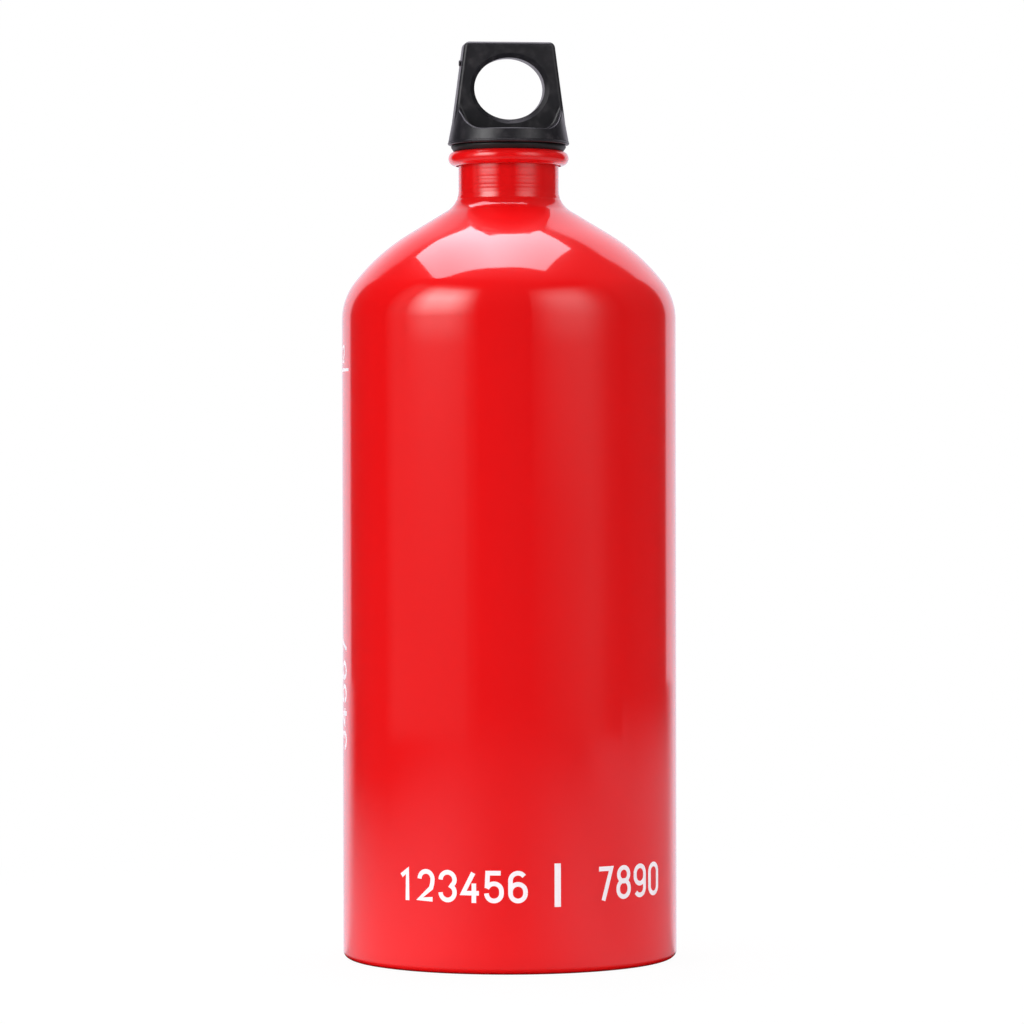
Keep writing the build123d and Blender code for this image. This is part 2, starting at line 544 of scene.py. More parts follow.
class Pen:
    """Draws a profile of radius and height, and keeps the surface that each stretch belongs to."""

    def __init__(self, radius: float, height: float, heading: float, arc_step: float = 3.0) -> None:
        """Sets the pen down.

        Args:
            radius: distance from the bottle's axis.
            height: height above the ground.
            heading: direction in degrees, 0 outwards and 90 upwards.
            arc_step: the most degrees between two points of an arc.
        """
        self.points = [Vector((radius, height))]
        self.surfaces: list[int] = []
        self.heading = heading
        self.arc_step = arc_step
        self.surface = CanSurface.OUTSIDE

    @property
    def here(self) -> Vector:
        """Where the pen is."""
        return self.points[-1]

    def to(self, radius: float, height: float) -> None:
        """Draws straight to a point."""
        self.points.append(Vector((radius, height)))
        self.surfaces.append(self.surface)

    def back_along(self, other: "Pen") -> None:
        """Draws through the points of another pen, the last of them first."""
        for radius, height in reversed(other.points):
            self.to(radius, height)

    def forward(self, length: float, pieces: int = 1) -> None:
        """Draws straight on.

        Args:
            length: how far.
            pieces: how many equal stretches it is divided into.
        """
        start = self.here.copy()
        way = Vector((math.cos(math.radians(self.heading)), math.sin(math.radians(self.heading))))
        for number in range(1, pieces + 1):
            self.to(*(start + way * (length * number / pieces)))

    def turn(self, degrees: float) -> None:
        """Turns on the spot, anticlockwise."""
        self.heading += degrees

    def arc(self, radius: float, degrees: float, step: float | None = None) -> None:
        """Draws an arc that runs on from the heading.

        Args:
            radius: the arc's radius.
            degrees: how far it turns, anticlockwise where positive.
            step: the most degrees between two of its points, where that isn't the pen's own.
        """
        steps = max(2, math.ceil(abs(degrees) / (step or self.arc_step)))
        side = math.copysign(90.0, degrees)
        toward = math.radians(self.heading + side)
        centre = self.here + Vector((math.cos(toward), math.sin(toward))) * radius
        first = self.heading - side
        for number in range(1, steps + 1):
            angle = math.radians(first + degrees * number / steps)
            self.to(*(centre + Vector((math.cos(angle), math.sin(angle))) * radius))
        self.heading += degrees


def in_scene(name: str, data: bpy.types.ID) -> bpy.types.Object:
    """Makes an object and links it to the scene.

    Args:
        name: its name.
        data: its mesh or camera.

    Returns:
        The object.
    """
    made = bpy.data.objects.new(name, data)
    bpy.context.scene.collection.objects.link(made)
    return made


def finished(name: str, shape: bmesh.types.BMesh, materials: list[bpy.types.Material]) -> bpy.types.Object:
    """Makes an object of a bmesh, with its sharp edges kept sharp.

    Args:
        name: the object's name.
        shape: the bmesh, which is freed.
        materials: the object's finishes.

    Returns:
        The object, in the scene.
    """
    mesh = bpy.data.meshes.new(name)
    shape.to_mesh(mesh)
    shape.free()
    mesh.set_sharp_from_angle(angle=SHARP_EDGE)
    for material in materials:
        mesh.materials.append(material)
    return in_scene(name, mesh)


def lathe(name: str, pen: Pen, materials: list[bpy.types.Material], around: int) -> bpy.types.Object:
    """Turns a profile about the Z axis into a closed mesh.

    Args:
        name: the object's name.
        pen: the pen that drew the profile. Ends on the axis become poles, else the profile is closed.
        materials: the finishes that the pen's surfaces number.
        around: how many points each ring has.

    Returns:
        The object, with its normals outwards.
    """
    shape = bmesh.new()
    points = pen.points
    closed = points[0].x > ON_AXIS
    if closed and (points[0] - points[-1]).length < ON_AXIS:
        points = points[:-1]
    angles = [math.tau * number / around for number in range(around)]
    ways = [(math.cos(angle), math.sin(angle)) for angle in angles]
    rings = []
    for radius, height in points:
        if radius <= ON_AXIS:
            rings.append([shape.verts.new((0.0, 0.0, height))])
        else:
            rings.append([shape.verts.new((radius * x, radius * y, height)) for x, y in ways])
    for number in range(len(rings) if closed else len(rings) - 1):
        low, high = rings[number], rings[(number + 1) % len(rings)]
        for k in range(around):
            after = (k + 1) % around
            corners = (low[k % len(low)], low[after % len(low)], high[after % len(high)], high[k % len(high)])
            face = shape.faces.new(list(dict.fromkeys(corners)))
            face.smooth = True
            face.material_index = pen.surfaces[number]
    bmesh.ops.recalc_face_normals(shape, faces=shape.faces)
    return finished(name, shape, materials)


@dataclass
class BottleShell:
    """The can in one piece: domed base, straight wall, shoulder, neck with turning marks, rolled lip."""

    radius: float
    rim_height: float
    body_height: float = 190.8 * MM
    wall: float = 0.95 * MM
    floor: float = 1.2 * MM
    base_edge: float = 2.2 * MM
    floor_edge: float = 3.0 * MM
    foot_width: float = 3.0 * MM
    dome_rise: float = 6.0 * MM
    dome_edge: float = 4.0 * MM
    low_radius: float = 18.5 * MM
    low_turn: float = 37.8
    high_radius: float = 59.2 * MM
    shoulder_turn: float = 58.9
    root_radius: float = 7.4 * MM
    neck_radius: float = 15.0 * MM
    neck_wall: float = 1.45 * MM
    hollow_radius: float = 0.78 * MM
    land_depth: float = 0.1 * MM
    paint: float = 0.02 * MM  # kept free inside the part's own outline for the print
    marks: tuple[tuple[float, float, float], ...] = (
        (235.3, 1.1, 0.015),
        (233.1, 1.2, 0.022),
        (232.1, 0.8, 0.014),
        (230.7, 1.1, 0.024),
        (229.6, 0.9, 0.022),
        (228.45, 1.0, 0.030),
        (227.0, 1.1, 0.070),
    )  # height, width and depth in millimetres of each ring that the turning tool left
    around: int = 256  # points in each ring of the mesh
    wall_rings: int = 19
    cone_rings: int = 6
    neck_rings: int = 56
    root_step: float = 1.5  # the most degrees between two points of the neck's root
    inner_step: float = 4.0  # and of the arcs inside the can
    hollow_step: float = 9.0  # and of the hollow inside the lip
    enamel: RedEnamel = field(default_factory=RedEnamel)
    metal: BareAluminium = field(default_factory=BareAluminium)

    @property
    def bore(self) -> float:
        """Inner radius of the neck."""
        return self.neck_radius - self.neck_wall

    @property
    def lip_radius(self) -> float:
        """Outer radius of the rolled lip's section."""
        return self.hollow_radius + self.neck_wall

    @property
    def lip_height(self) -> float:
        """Height of the middle of the rolled lip."""
        return self.rim_height + self.land_depth - self.lip_radius

    def _shoulder(self, pen: Pen, inset: float, top_radius: float, root: float, root_step: float) -> None:
        """Draws the shoulder from the straight wall up to the neck.

        Args:
            pen: the pen, at the top of the straight wall and heading up.
            inset: how far this surface lies inside the outer one.
            top_radius: the neck's radius on this surface.
            root: the radius of the rounding at the neck's root.
            root_step: the most degrees between two points of that rounding.
        """
        pen.arc(self.low_radius - inset, self.low_turn)
        pen.arc(self.high_radius - inset, self.shoulder_turn - self.low_turn)
        turn = math.radians(self.shoulder_turn)
        cone = (pen.here.x - top_radius - root * (1 - math.cos(turn))) / math.sin(turn)
        pen.forward(cone, pieces=self.cone_rings)
        pen.arc(root, -self.shoulder_turn, root_step)

    def _inner_shoulder(self) -> Pen:
        """Draws the shoulder's inner surface, from the wall up.

        Returns:
            The pen, at the foot of the neck's bore.
        """
        pen = Pen(self.radius - self.wall, self.body_height, 90.0, self.inner_step)
        self._shoulder(pen, self.wall, self.bore, self.root_radius + self.neck_wall, self.inner_step)
        return pen

    def _dome(self, pen: Pen, reach: float) -> None:
        """Draws the pushed-in base from the axis outwards to its flat rim.

        Args:
            pen: the pen, on the axis.
            reach: how far out the dome's arc would meet the flat.
        """
        dome = (reach**2 + self.dome_rise**2) / (2 * self.dome_rise)
        run = math.sqrt((dome + self.dome_edge) ** 2 - (dome - self.dome_rise + self.dome_edge) ** 2)
        fall = math.degrees(math.asin(run / (dome + self.dome_edge)))
        pen.arc(dome, -fall)
        pen.arc(self.dome_edge, fall)

    def _mark_depth(self, height: float) -> float:
        """How deep the turning tool cut.

        Args:
            height: where on the neck.

        Returns:
            The depth there, of all the marks together.
        """
        depth = 0.0
        for middle, width, deepest in self.marks:
            share = min(1.0, abs(height - middle * MM) / (width * MM / 2))
            depth += deepest * MM * (1 + math.cos(math.pi * share)) / 2
        return depth

    def _outside(self) -> Pen:
        """Draws the painted surface, from the middle of the base up and round the rolled lip.

        Returns:
            The pen, at the outer edge of the land that carries the seal.
        """
        foot = self.radius - self.paint - self.base_edge
        pen = Pen(0.0, self.dome_rise, 0.0)
        self._dome(pen, foot - self.foot_width)
        pen.to(foot, 0.0)
        pen.arc(self.base_edge, 90.0)
        pen.forward(self.body_height - pen.here.y, pieces=self.wall_rings)
        self._shoulder(pen, 0.0, self.neck_radius, self.root_radius, self.root_step)
        pen.forward(self.lip_height - pen.here.y, pieces=self.neck_rings)
        for point in pen.points:
            point.x -= self._mark_depth(point.y)
        pen.arc(self.hollow_radius, -270.0, self.hollow_step)
        pen.turn(90.0)
        pen.to(pen.here.x, self.lip_height - self.lip_radius)
        pen.turn(90.0)
        land = math.degrees(math.acos(1 - self.land_depth / self.lip_radius))
        pen.arc(self.lip_radius, 180.0 - land)
        return pen

    def build(self) -> bpy.types.Object:
        """Draws the whole section and turns it.

        Returns:
            The can.
        """
        pen = self._outside()
        land_half = math.sqrt(self.lip_radius**2 - (self.lip_radius - self.land_depth) ** 2)
        pen.surface = CanSurface.INSIDE
        pen.to(self.neck_radius + self.hollow_radius - land_half, self.rim_height)
        land = math.degrees(math.asin(land_half / self.lip_radius))
        pen.heading = 180.0 + land
        pen.arc(self.lip_radius, 90.0 - land)
        pen.back_along(self._inner_shoulder())
        pen.to(self.radius - self.wall, self.floor + self.floor_edge)
        pen.heading = -90.0
        pen.arc(self.floor_edge, -90.0, self.inner_step)
        floor = Pen(0.0, self.dome_rise + self.floor, 0.0, self.inner_step)
        self._dome(floor, self.radius - self.base_edge - self.foot_width)
        pen.back_along(floor)
        return lathe("bottle", pen, [self.enamel.material(), self.metal.material()], self.around)


@dataclass
class SealRing:
    """The loose ring between the lip and the cap, wider at its top."""

    foot_height: float
    top_height: float
    inner_radius: float = 12.2 * MM
    foot_radius: float = 16.43 * MM
    top_radius: float = 17.73 * MM
    top_edge: float = 0.6 * MM
    foot_edge: float = 0.4 * MM
    inner_edge: float = 0.25 * MM
    arc_step: float = 10.0
    around: int = 160
    finish: SealRubber = field(default_factory=SealRubber)

    def build(self) -> bpy.types.Object:
        """Draws the ring's section and turns it.

        Returns:
            The ring.
        """
        height = self.top_height - self.foot_height
        slant = math.degrees(math.atan2(height, self.top_radius - self.foot_radius))
        foot_reach = self.foot_edge * math.tan(math.radians(slant / 2))
        top_reach = self.top_edge * math.tan(math.radians((180 - slant) / 2))
        side = math.hypot(height, self.top_radius - self.foot_radius)
        edge = self.inner_edge
        pen = Pen(self.inner_radius + edge, self.foot_height, 0.0, self.arc_step)
        pen.forward(self.foot_radius - foot_reach - pen.here.x)
        pen.arc(self.foot_edge, slant)
        pen.forward(side - foot_reach - top_reach)
        pen.arc(self.top_edge, 180.0 - slant)
        pen.forward(pen.here.x - self.inner_radius - edge)
        pen.arc(edge, 90.0)
        pen.forward(height - 2 * edge)
        pen.arc(edge, 90.0)
        return lathe("seal", pen, [self.finish.material()], self.around)


@dataclass
class ScrewThread:
    """A helical ridge on a cylinder, made by a node tree that follows a spiral."""

    name: str
    root_radius: float
    crest_radius: float
    foot_height: float
    turns: float
    start_angle: float = 180.0
    lead: float = 4.0 * MM
    root_width: float = 1.7 * MM
    crest_width: float = 0.7 * MM
    sunk: float = 0.15 * MM  # how far the ridge reaches into the wall that carries it
    run_out: float = 0.12  # share of the ridge's length over which it fades at each end
    run_out_power: float = 0.5  # below 1 it fades late
    end_scale: float = 0.05  # of the ridge's section at its very ends
    turn_points: int = 72

    def _tree(self) -> bpy.types.NodeTree:
        """Builds the node tree: a spiral, a section that fades towards its ends, and its finish.

        Returns:
            The tree, with a named input for each size.
        """
        tree = bpy.data.node_groups.new(f"{self.name}_nodes", "GeometryNodeTree")
        for label in ("Radius", "Turns", "Lead", "Height", "Root Width", "Crest Width", "Run Out"):
            tree.interface.new_socket(label, in_out="INPUT", socket_type="NodeSocketFloat")
        tree.interface.new_socket("Finish", in_out="INPUT", socket_type="NodeSocketMaterial")
        tree.interface.new_socket("Geometry", in_out="OUTPUT", socket_type="NodeSocketGeometry")
        given = tree.nodes.new("NodeGroupInput").outputs

        def add(kind: str, sockets: dict, **settings: object) -> bpy.types.NodeSocket:
            """Adds a node.

            Args:
                kind: the node's type.
                sockets: values or links for its inputs, by name or number.
                settings: its properties.

            Returns:
                The node's first output.
            """
            node = tree.nodes.new(kind)
            for key, value in settings.items():
                setattr(node, key, value)
            for key, value in sockets.items():
                if isinstance(value, bpy.types.NodeSocket):
                    tree.links.new(value, node.inputs[key])
                else:
                    node.inputs[key].default_value = value
            return node.outputs[0]

        def maths(operation: str, *values: object) -> bpy.types.NodeSocket:
            """Adds a Math node and gives its result."""
            return add("ShaderNodeMath", dict(enumerate(values)), operation=operation)

        spiral = add(
            "GeometryNodeCurveSpiral",
            {
                "Resolution": self.turn_points,
                "Rotations": given["Turns"],
                "Start Radius": given["Radius"],
                "End Radius": given["Radius"],
                "Height": maths("MULTIPLY", given["Turns"], given["Lead"]),
            },
        )
        upright = add("GeometryNodeSetCurveNormal", {"Curve": spiral}, mode="Z_UP")
        along = add("GeometryNodeSplineParameter", {})
        from_end = maths("MINIMUM", along, maths("SUBTRACT", 1.0, along))
        fade = maths("MINIMUM", maths("DIVIDE", from_end, given["Run Out"]), 1.0)
        fade = maths("MAXIMUM", maths("POWER", fade, self.run_out_power), self.end_scale)
        section = add(
            "GeometryNodeCurvePrimitiveQuadrilateral",
            {
                "Height": given["Height"],
                "Bottom Width": given["Root Width"],
                "Top Width": given["Crest Width"],
                "Offset": 0.0,
            },
            mode="TRAPEZOID",
        )
        quarter = math.copysign(math.pi / 2, self.root_radius - self.crest_radius)
        section = add("GeometryNodeTransform", {"Geometry": section, "Rotation": Euler((0, 0, quarter))})
        ridge = add(
            "GeometryNodeCurveToMesh",
            {"Curve": upright, "Profile Curve": section, "Scale": fade, "Fill Caps": True},
        )
        real = add("GeometryNodeRealizeInstances", {"Geometry": ridge})
        dressed = add("GeometryNodeSetMaterial", {"Geometry": real, "Material": given["Finish"]})
        tree.links.new(dressed, tree.nodes.new("NodeGroupOutput").inputs["Geometry"])
        return tree

    def build(self, material: bpy.types.Material) -> bpy.types.Object:
        """Makes the ridge's mesh.

        Args:
            material: its finish.

        Returns:
            The ridge, closed at both ends, in its place.
        """
        outwards = math.copysign(1.0, self.crest_radius - self.root_radius)
        height = abs(self.crest_radius - self.root_radius) + self.sunk
        values = {
            "Radius": self.crest_radius - outwards * height / 2,
            "Turns": self.turns,
            "Lead": self.lead,
            "Height": height,
            "Root Width": self.root_width,
            "Crest Width": self.crest_width,
            "Run Out": self.run_out,
            "Finish": material,
        }
        made = from_nodes(self.name, self._tree(), values)
        turn = Matrix.Rotation(math.radians(self.start_angle), 4, "Z")
        made.data.transform(Matrix.Translation((0, 0, self.foot_height)) @ turn)
        return made


def from_nodes(name: str, tree: bpy.types.NodeTree, values: dict) -> bpy.types.Object:
    """Runs a node tree and keeps its result as a plain mesh.

    Args:
        name: the object's name.
        tree: the node tree, which ends in one geometry.
        values: its inputs by name.

    Returns:
        The object, with doubles merged and normals outwards.
    """
    carrier = in_scene(f"{name}_carrier", bpy.data.meshes.new(f"{name}_carrier"))
    modifier = carrier.modifiers.new("nodes", "NODES")
    modifier.node_group = tree
    for item in tree.interface.items_tree:
        if item.in_out == "INPUT":
            modifier[item.identifier] = values[item.name]
    evaluated = carrier.evaluated_get(bpy.context.evaluated_depsgraph_get())
    mesh = bpy.data.meshes.new_from_object(evaluated)
    carrier.modifiers.clear()
    bpy.data.objects.remove(carrier)
    shape = bmesh.new()
    shape.from_mesh(mesh)
    bmesh.ops.remove_doubles(shape, verts=shape.verts, dist=0.001 * MM)
    bmesh.ops.recalc_face_normals(shape, faces=shape.faces)
    for face in shape.faces:
        face.smooth = True
    return finished(name, shape, list(mesh.materials))


@dataclass
class Numerals:
    """Plain numerals of one stroke width, drawn as flat strokes along their middle lines."""

    height: float = 9.4 * MM
    width: float = 5.7 * MM
    stroke: float = 1.35 * MM
    gap: float = 1.25 * MM
    lift: float = 0.004 * MM  # how much higher a numeral's second stroke lies than its first
    arc_step: float = 12.0
    mitre_limit: float = 0.55  # the least cosine that a corner's reach is divided by

    @property
    def across(self) -> float:
        """Width of the middle lines' box."""
        return self.width - self.stroke

    @property
    def tall(self) -> float:
        """Height of the middle lines' box."""
        return self.height - self.stroke

    def _pen(self, x: float, y: float, heading: float = 0.0) -> Pen:
        """A pen at a place given in shares of the box."""
        return Pen(x * self.across, y * self.tall, heading, self.arc_step)

    def _line(self, *shares: Pair) -> Pen:
        """Draws straight lines.

        Args:
            shares: the places that they join, in shares of the box.

        Returns:
            The pen.
        """
        pen = self._pen(*shares[0])
        for x, y in shares[1:]:
            pen.to(x * self.across, y * self.tall)
        return pen

    def _ring(self, low: float, high: float, inset: float = 0.0) -> Pen:
        """Draws a closed upright ring.

        Args:
            low: its foot, as a share of the height.
            high: its top, likewise.
            inset: how far it stays inside each side, as a share of the width.

        Returns:
            The pen.
        """
        radius = self.across * (0.5 - inset)
        side = (high - low) * self.tall - 2 * radius
        pen = self._pen(1 - inset, low, 90.0)
        pen.points[0].y += radius
        for _ in range(2):
            pen.forward(side)
            pen.arc(radius, 180.0)
        return pen

    def _two(self) -> Pen:
        """Draws a two.

        Returns:
            The pen.
        """
        radius = self.across / 2
        throat_radius, throat_turn = 1.6 * self.across, 22.0
        pen = self._pen(0, 1, 90.0)
        pen.points[0].y -= radius
        pen.arc(radius, -180.0)
        pen.arc(throat_radius, -throat_turn)
        pen.to(0.0, 0.0)
        pen.to(self.across, 0.0)
        return pen

    def _three(self) -> Pen:
        """Draws a three, whose line turns back on itself at its waist.

        Returns:
            The pen.
        """
        radius, waist = self.across / 2, self.tall / 2
        waist_turn = 62.0
        pen = self._pen(0, 1, 90.0)
        pen.points[0].y -= radius
        pen.arc(radius, -180.0)
        pen.arc(waist - radius, -waist_turn)
        pen.turn(2 * waist_turn)
        pen.points[-1].y = waist
        pen.arc(waist - radius, -waist_turn)
        pen.points[-1] = Vector((self.across, radius))
        pen.heading = -90.0
        pen.arc(radius, -180.0)
        return pen

    def _five(self) -> list[Pen]:
        """Draws a five.

        Returns:
            The pens of its flag and of its bowl.
        """
        radius, bowl = self.across / 2, 0.62 * self.tall
        start = 160.0
        angle = math.radians(start)
        flag = self._line((0.95, 1.0), (0.08, 1.0), (0.03, 0.46))
        pen = self._pen(0, 0, start - 90.0)
        pen.points[0] = Vector((radius * (1 + math.cos(angle)), bowl - radius * (1 - math.sin(angle))))
        pen.arc(radius, -start)
        pen.forward(bowl - 2 * radius)
        pen.arc(radius, -180.0)
        return [flag, pen]

    def _six(self) -> list[Pen]:
        """Draws a six, which upside down is a nine.

        Returns:
            The pens of its spine with the lower bowl, and of the bowl's closing half.
        """
        radius, bowl = self.across / 2, 0.6 * self.tall
        opening = 35.0
        end = math.radians(opening)
        pen = self._pen(0, 0, 90.0 + opening)
        pen.points[0] = Vector((radius * (1 + math.cos(end)), self.tall - radius * (1 - math.sin(end))))
        pen.arc(radius, 180.0 - opening)
        pen.forward(self.tall - 2 * radius)
        pen.arc(radius, 180.0)
        half = Pen(self.across, radius, 90.0, self.arc_step)
        half.forward(bowl - 2 * radius)
        half.arc(radius, 180.0)
        return [pen, half]

    def _strokes(self, numeral: str) -> list[tuple[Pen, bool]]:
        """Draws one numeral, a nine as a six.

        Args:
            numeral: which.

        Returns:
            Its strokes, each with whether it is closed.
        """
        if numeral == "0":
            return [(self._ring(0.0, 1.0), True)]
        if numeral == "8":
            return [(self._ring(0.0, 0.55), True), (self._ring(0.53, 1.0, inset=0.05), True)]
        if numeral == "4":
            slope = self._line((0.7, 1.0), (0.0, 0.27), (1.08, 0.27))
            return [(slope, False), (self._line((0.74, 0.62), (0.74, -0.08)), False)]
        if numeral == "5":
            return [(pen, False) for pen in self._five()]
        if numeral in "69":
            return [(pen, False) for pen in self._six()]
        single = {
            "1": lambda: self._line((0.1, 0.8), (0.6, 1.0), (0.6, -0.08)),
            "2": self._two,
            "3": self._three,
            "7": lambda: self._line((0.0, 1.0), (1.0, 1.0), (0.35, -0.08)),
        }
        return [(single[numeral](), False)]

    def _ribbon(self, shape: bmesh.types.BMesh, points: list[Vector], closed: bool, depths: Pair) -> None:
        """Adds one flat stroke as a closed solid.

        Args:
            shape: the bmesh that it is added to.
            points: its middle line.
            closed: whether the line's end meets its start.
            depths: the heights of its back and its face.
        """
        if closed:
            points = points[:-1]
        count = len(points)
        back, face = depths
        rows = []
        for number, point in enumerate(points):
            before = points[number - 1] if number or closed else point
            after = points[(number + 1) % count] if number + 1 < count or closed else point
            into = (point - before).normalized() if before is not point else (after - point).normalized()
            out = (after - point).normalized() if after is not point else into
            middle = (into + out).normalized()
            side = Vector((-middle.y, middle.x))
            reach = self.stroke / 2 / max(self.mitre_limit, side.dot(Vector((-into.y, into.x))))
            left, right = point + side * reach, point - side * reach
            corners = ((left, back), (right, back), (right, face), (left, face))
            rows.append([shape.verts.new((flat.x, flat.y, depth)) for flat, depth in corners])
        for number in range(count if closed else count - 1):
            first, second = rows[number], rows[(number + 1) % count]
            for k in range(len(first)):
                after = (k + 1) % len(first)
                shape.faces.new((first[k], first[after], second[after], second[k]))
        if not closed:
            shape.faces.new(rows[0])
            shape.faces.new(rows[-1])

    def drawn(self, text: str, thickness: float, quarter_turns: int = 0) -> bmesh.types.BMesh:
        """Draws a row of numerals as thin flat solids, the row's middle at the origin.

        Args:
            text: the numerals.
            thickness: the ink's thickness, which lies behind Z zero.
            quarter_turns: how far the row is turned, anticlockwise.

        Returns:
            The solids.
        """
        shape = bmesh.new()
        pitch = self.width + self.gap
        for place, numeral in enumerate(text):
            start = Vector(((place - (len(text) - 1) / 2) * pitch - self.across / 2, -self.tall / 2))
            for number, (pen, closed) in enumerate(self._strokes(numeral)):
                points = [point.copy() for point in pen.points]
                if numeral == "9":
                    points = [Vector((self.across, self.tall)) - point for point in points]
                points = [start + point for point in points]
                face = -self.lift * (1 - number)
                self._ribbon(shape, points, closed, (-thickness, face))
        turned = Matrix.Rotation(math.pi / 2 * quarter_turns, 3, "Z")
        bmesh.ops.rotate(shape, verts=shape.verts, matrix=turned)
        bmesh.ops.recalc_face_normals(shape, faces=shape.faces)
        return shape


@dataclass(frozen=True)
class WallPlace:
    """A place on the can's wall."""

    azimuth: float  # degrees from the front towards +X
    height: float


@dataclass
class Printed:
    """White print that lies on the can's wall: plain numerals, a bar and a level line."""

    radius: float  # of the print's own surface
    thickness: float = 0.04 * MM
    cut_every: float = 0.6 * MM  # how far apart the print is cut upright before it is bent
    large: Numerals = field(default_factory=Numerals)
    tall: Numerals = field(default_factory=lambda: Numerals(height=9.9 * MM))
    small: Numerals = field(
        default_factory=lambda: Numerals(height=5.6 * MM, width=3.2 * MM, stroke=0.85 * MM, gap=0.8 * MM)
    )
    bar_size: Pair = (1.9 * MM, 12.6 * MM)
    line_size: Pair = (15.2 * MM, 0.9 * MM)
    left_place: WallPlace = WallPlace(-17.2, 25.6 * MM)
    bar_place: WallPlace = WallPlace(16.1, 25.95 * MM)
    right_place: WallPlace = WallPlace(45.7, 25.8 * MM)
    line_place: WallPlace = WallPlace(-80.7, 175.8 * MM)
    level_place: WallPlace = WallPlace(-82.0, 180.6 * MM)
    side_place: WallPlace = WallPlace(-81.0, 79.5 * MM)
    finish: WhiteInk = field(default_factory=WhiteInk)

    def _bend(self, shape: bmesh.types.BMesh, place: WallPlace) -> None:
        """Bends a flat print onto the wall.

        Args:
            shape: the print, flat in X and Y, its middle at the origin and its face at Z zero.
            place: where its middle goes.
        """
        reach = max(abs(v.co.x) for v in shape.verts)
        cuts = int(reach / self.cut_every)
        for number in range(-cuts, cuts + 1):
            everything = [*shape.verts, *shape.edges, *shape.faces]
            at = Vector((number * self.cut_every, 0.0, 0.0))
            across = Vector((1.0, 0.0, 0.0))
            bmesh.ops.bisect_plane(shape, geom=everything, plane_co=at, plane_no=across, dist=1e-8)
        for vert in shape.verts:
            angle = math.radians(place.azimuth) + vert.co.x / self.radius
            out = self.radius + vert.co.z
            vert.co = (out * math.sin(angle), -out * math.cos(angle), place.height + vert.co.y)
        bmesh.ops.recalc_face_normals(shape, faces=shape.faces)

    def _bar(self, size: Pair) -> bmesh.types.BMesh:
        """Draws a rectangle of ink.

        Args:
            size: its width and height.

        Returns:
            The rectangle, its middle at the origin.
        """
        shape = bmesh.new()
        bmesh.ops.create_cube(shape, size=1.0)
        bmesh.ops.scale(shape, vec=(*size, self.thickness), verts=shape.verts)
        bmesh.ops.translate(shape, vec=(0.0, 0.0, -self.thickness / 2), verts=shape.verts)
        return shape

    def build(self) -> list[bpy.types.Object]:
        """Makes the front row and the level marks on the left side.

        Returns:
            The pieces of print, on the wall.
        """
        material = self.finish.material()
        ink = self.thickness
        prints = (
            ("print_numbers_left", self.large.drawn("123456", ink), self.left_place),
            ("print_bar", self._bar(self.bar_size), self.bar_place),
            ("print_numbers_right", self.tall.drawn("7890", ink), self.right_place),
            ("print_level_line", self._bar(self.line_size), self.line_place),
            ("print_level_numbers", self.small.drawn("12", ink), self.level_place),
            ("print_side_numbers", self.large.drawn("34567", ink, quarter_turns=1), self.side_place),
        )
        made = []
        for name, shape, place in prints:
            self._bend(shape, place)
            made.append(finished(name, shape, [material]))
        return made


@dataclass(frozen=True)
class Glow:
    """How bright a softbox is: an even and a bright part, each by elevation and by azimuth in degrees."""

    even_by_rise: Points
    even_by_azimuth: Points
    bright_by_rise: Points
    bright_by_azimuth: Points

    def strength(self, tree: ShaderTree, rise: Wire, azimuth: Wire) -> Wire:
        """Works out the brightness at a place on the panel.

        Args:
            tree: the tree that gets the nodes.
            rise: the place's elevation.
            azimuth: its azimuth.

        Returns:
            The brightness.
        """
        even = tree.graph(rise, self.even_by_rise) * tree.graph(azimuth, self.even_by_azimuth)
        bright = tree.graph(rise, self.bright_by_rise) * tree.graph(azimuth, self.bright_by_azimuth)
        return even + bright


LEFT_GLOW = Glow(
    even_by_rise=((-8, 0.16), (-4, 0.17), (0, 0.19), (2.8, 0.20), (10, 0.27), (46, 0.27), (52, 0.0)),
    even_by_azimuth=((19, 0.0), (21.5, 0.25), (24.5, 0.4), (27.5, 0.5), (30.5, 1.0), (82, 1.1), (94, 0.0)),
    bright_by_rise=(
        (-6.5, 0.0), (0, 0.05), (3.2, 0.13), (4.5, 0.9), (6.5, 1.5), (10.1, 2.1), (17.3, 3.35), (24.4, 4.3),
        (31, 5.35), (34, 5.1), (37.2, 4.5), (40.6, 3.6), (44.3, 2.8), (47, 1.5), (50, 0.5), (56, 0.0),
    ),
    bright_by_azimuth=((22, 0.0), (27, 0.2), (34, 0.62), (42, 1.0), (58.5, 1.0), (66.5, 0.5), (74.5, 0.0)),
)
RIGHT_GLOW = Glow(
    even_by_rise=((-8, 0.16), (-4.3, 0.24), (0, 0.24), (2.4, 0.23), (10, 0.27), (46, 0.27), (52, 0.0)),
    even_by_azimuth=(
        (15.5, 0.1), (17.5, 0.2), (23.5, 0.33), (29.5, 0.46), (38, 0.62), (47, 0.8), (56, 1.0), (63, 0.83),
        (71, 0.36), (82, 0.1),
    ),
    bright_by_rise=(
        (-2.1, 0.0), (0, 0.07), (3.2, 0.17), (5.1, 0.71), (11.2, 0.85), (18.3, 1.09), (25.4, 1.31),
        (32.5, 1.51), (36.5, 1.35), (40.6, 1.05), (44.3, 0.75), (47, 0.45), (50, 0.15), (56, 0.0),
    ),
    bright_by_azimuth=(
        (15, 0.0), (15.5, 0.13), (19.5, 0.24), (24.5, 0.5), (28.5, 0.73), (33, 0.9), (37, 1.0), (47, 1.0),
        (52, 0.88), (56, 0.66), (61, 0.38), (66, 0.15), (72, 0.05), (82, 0.0),
    ),
)


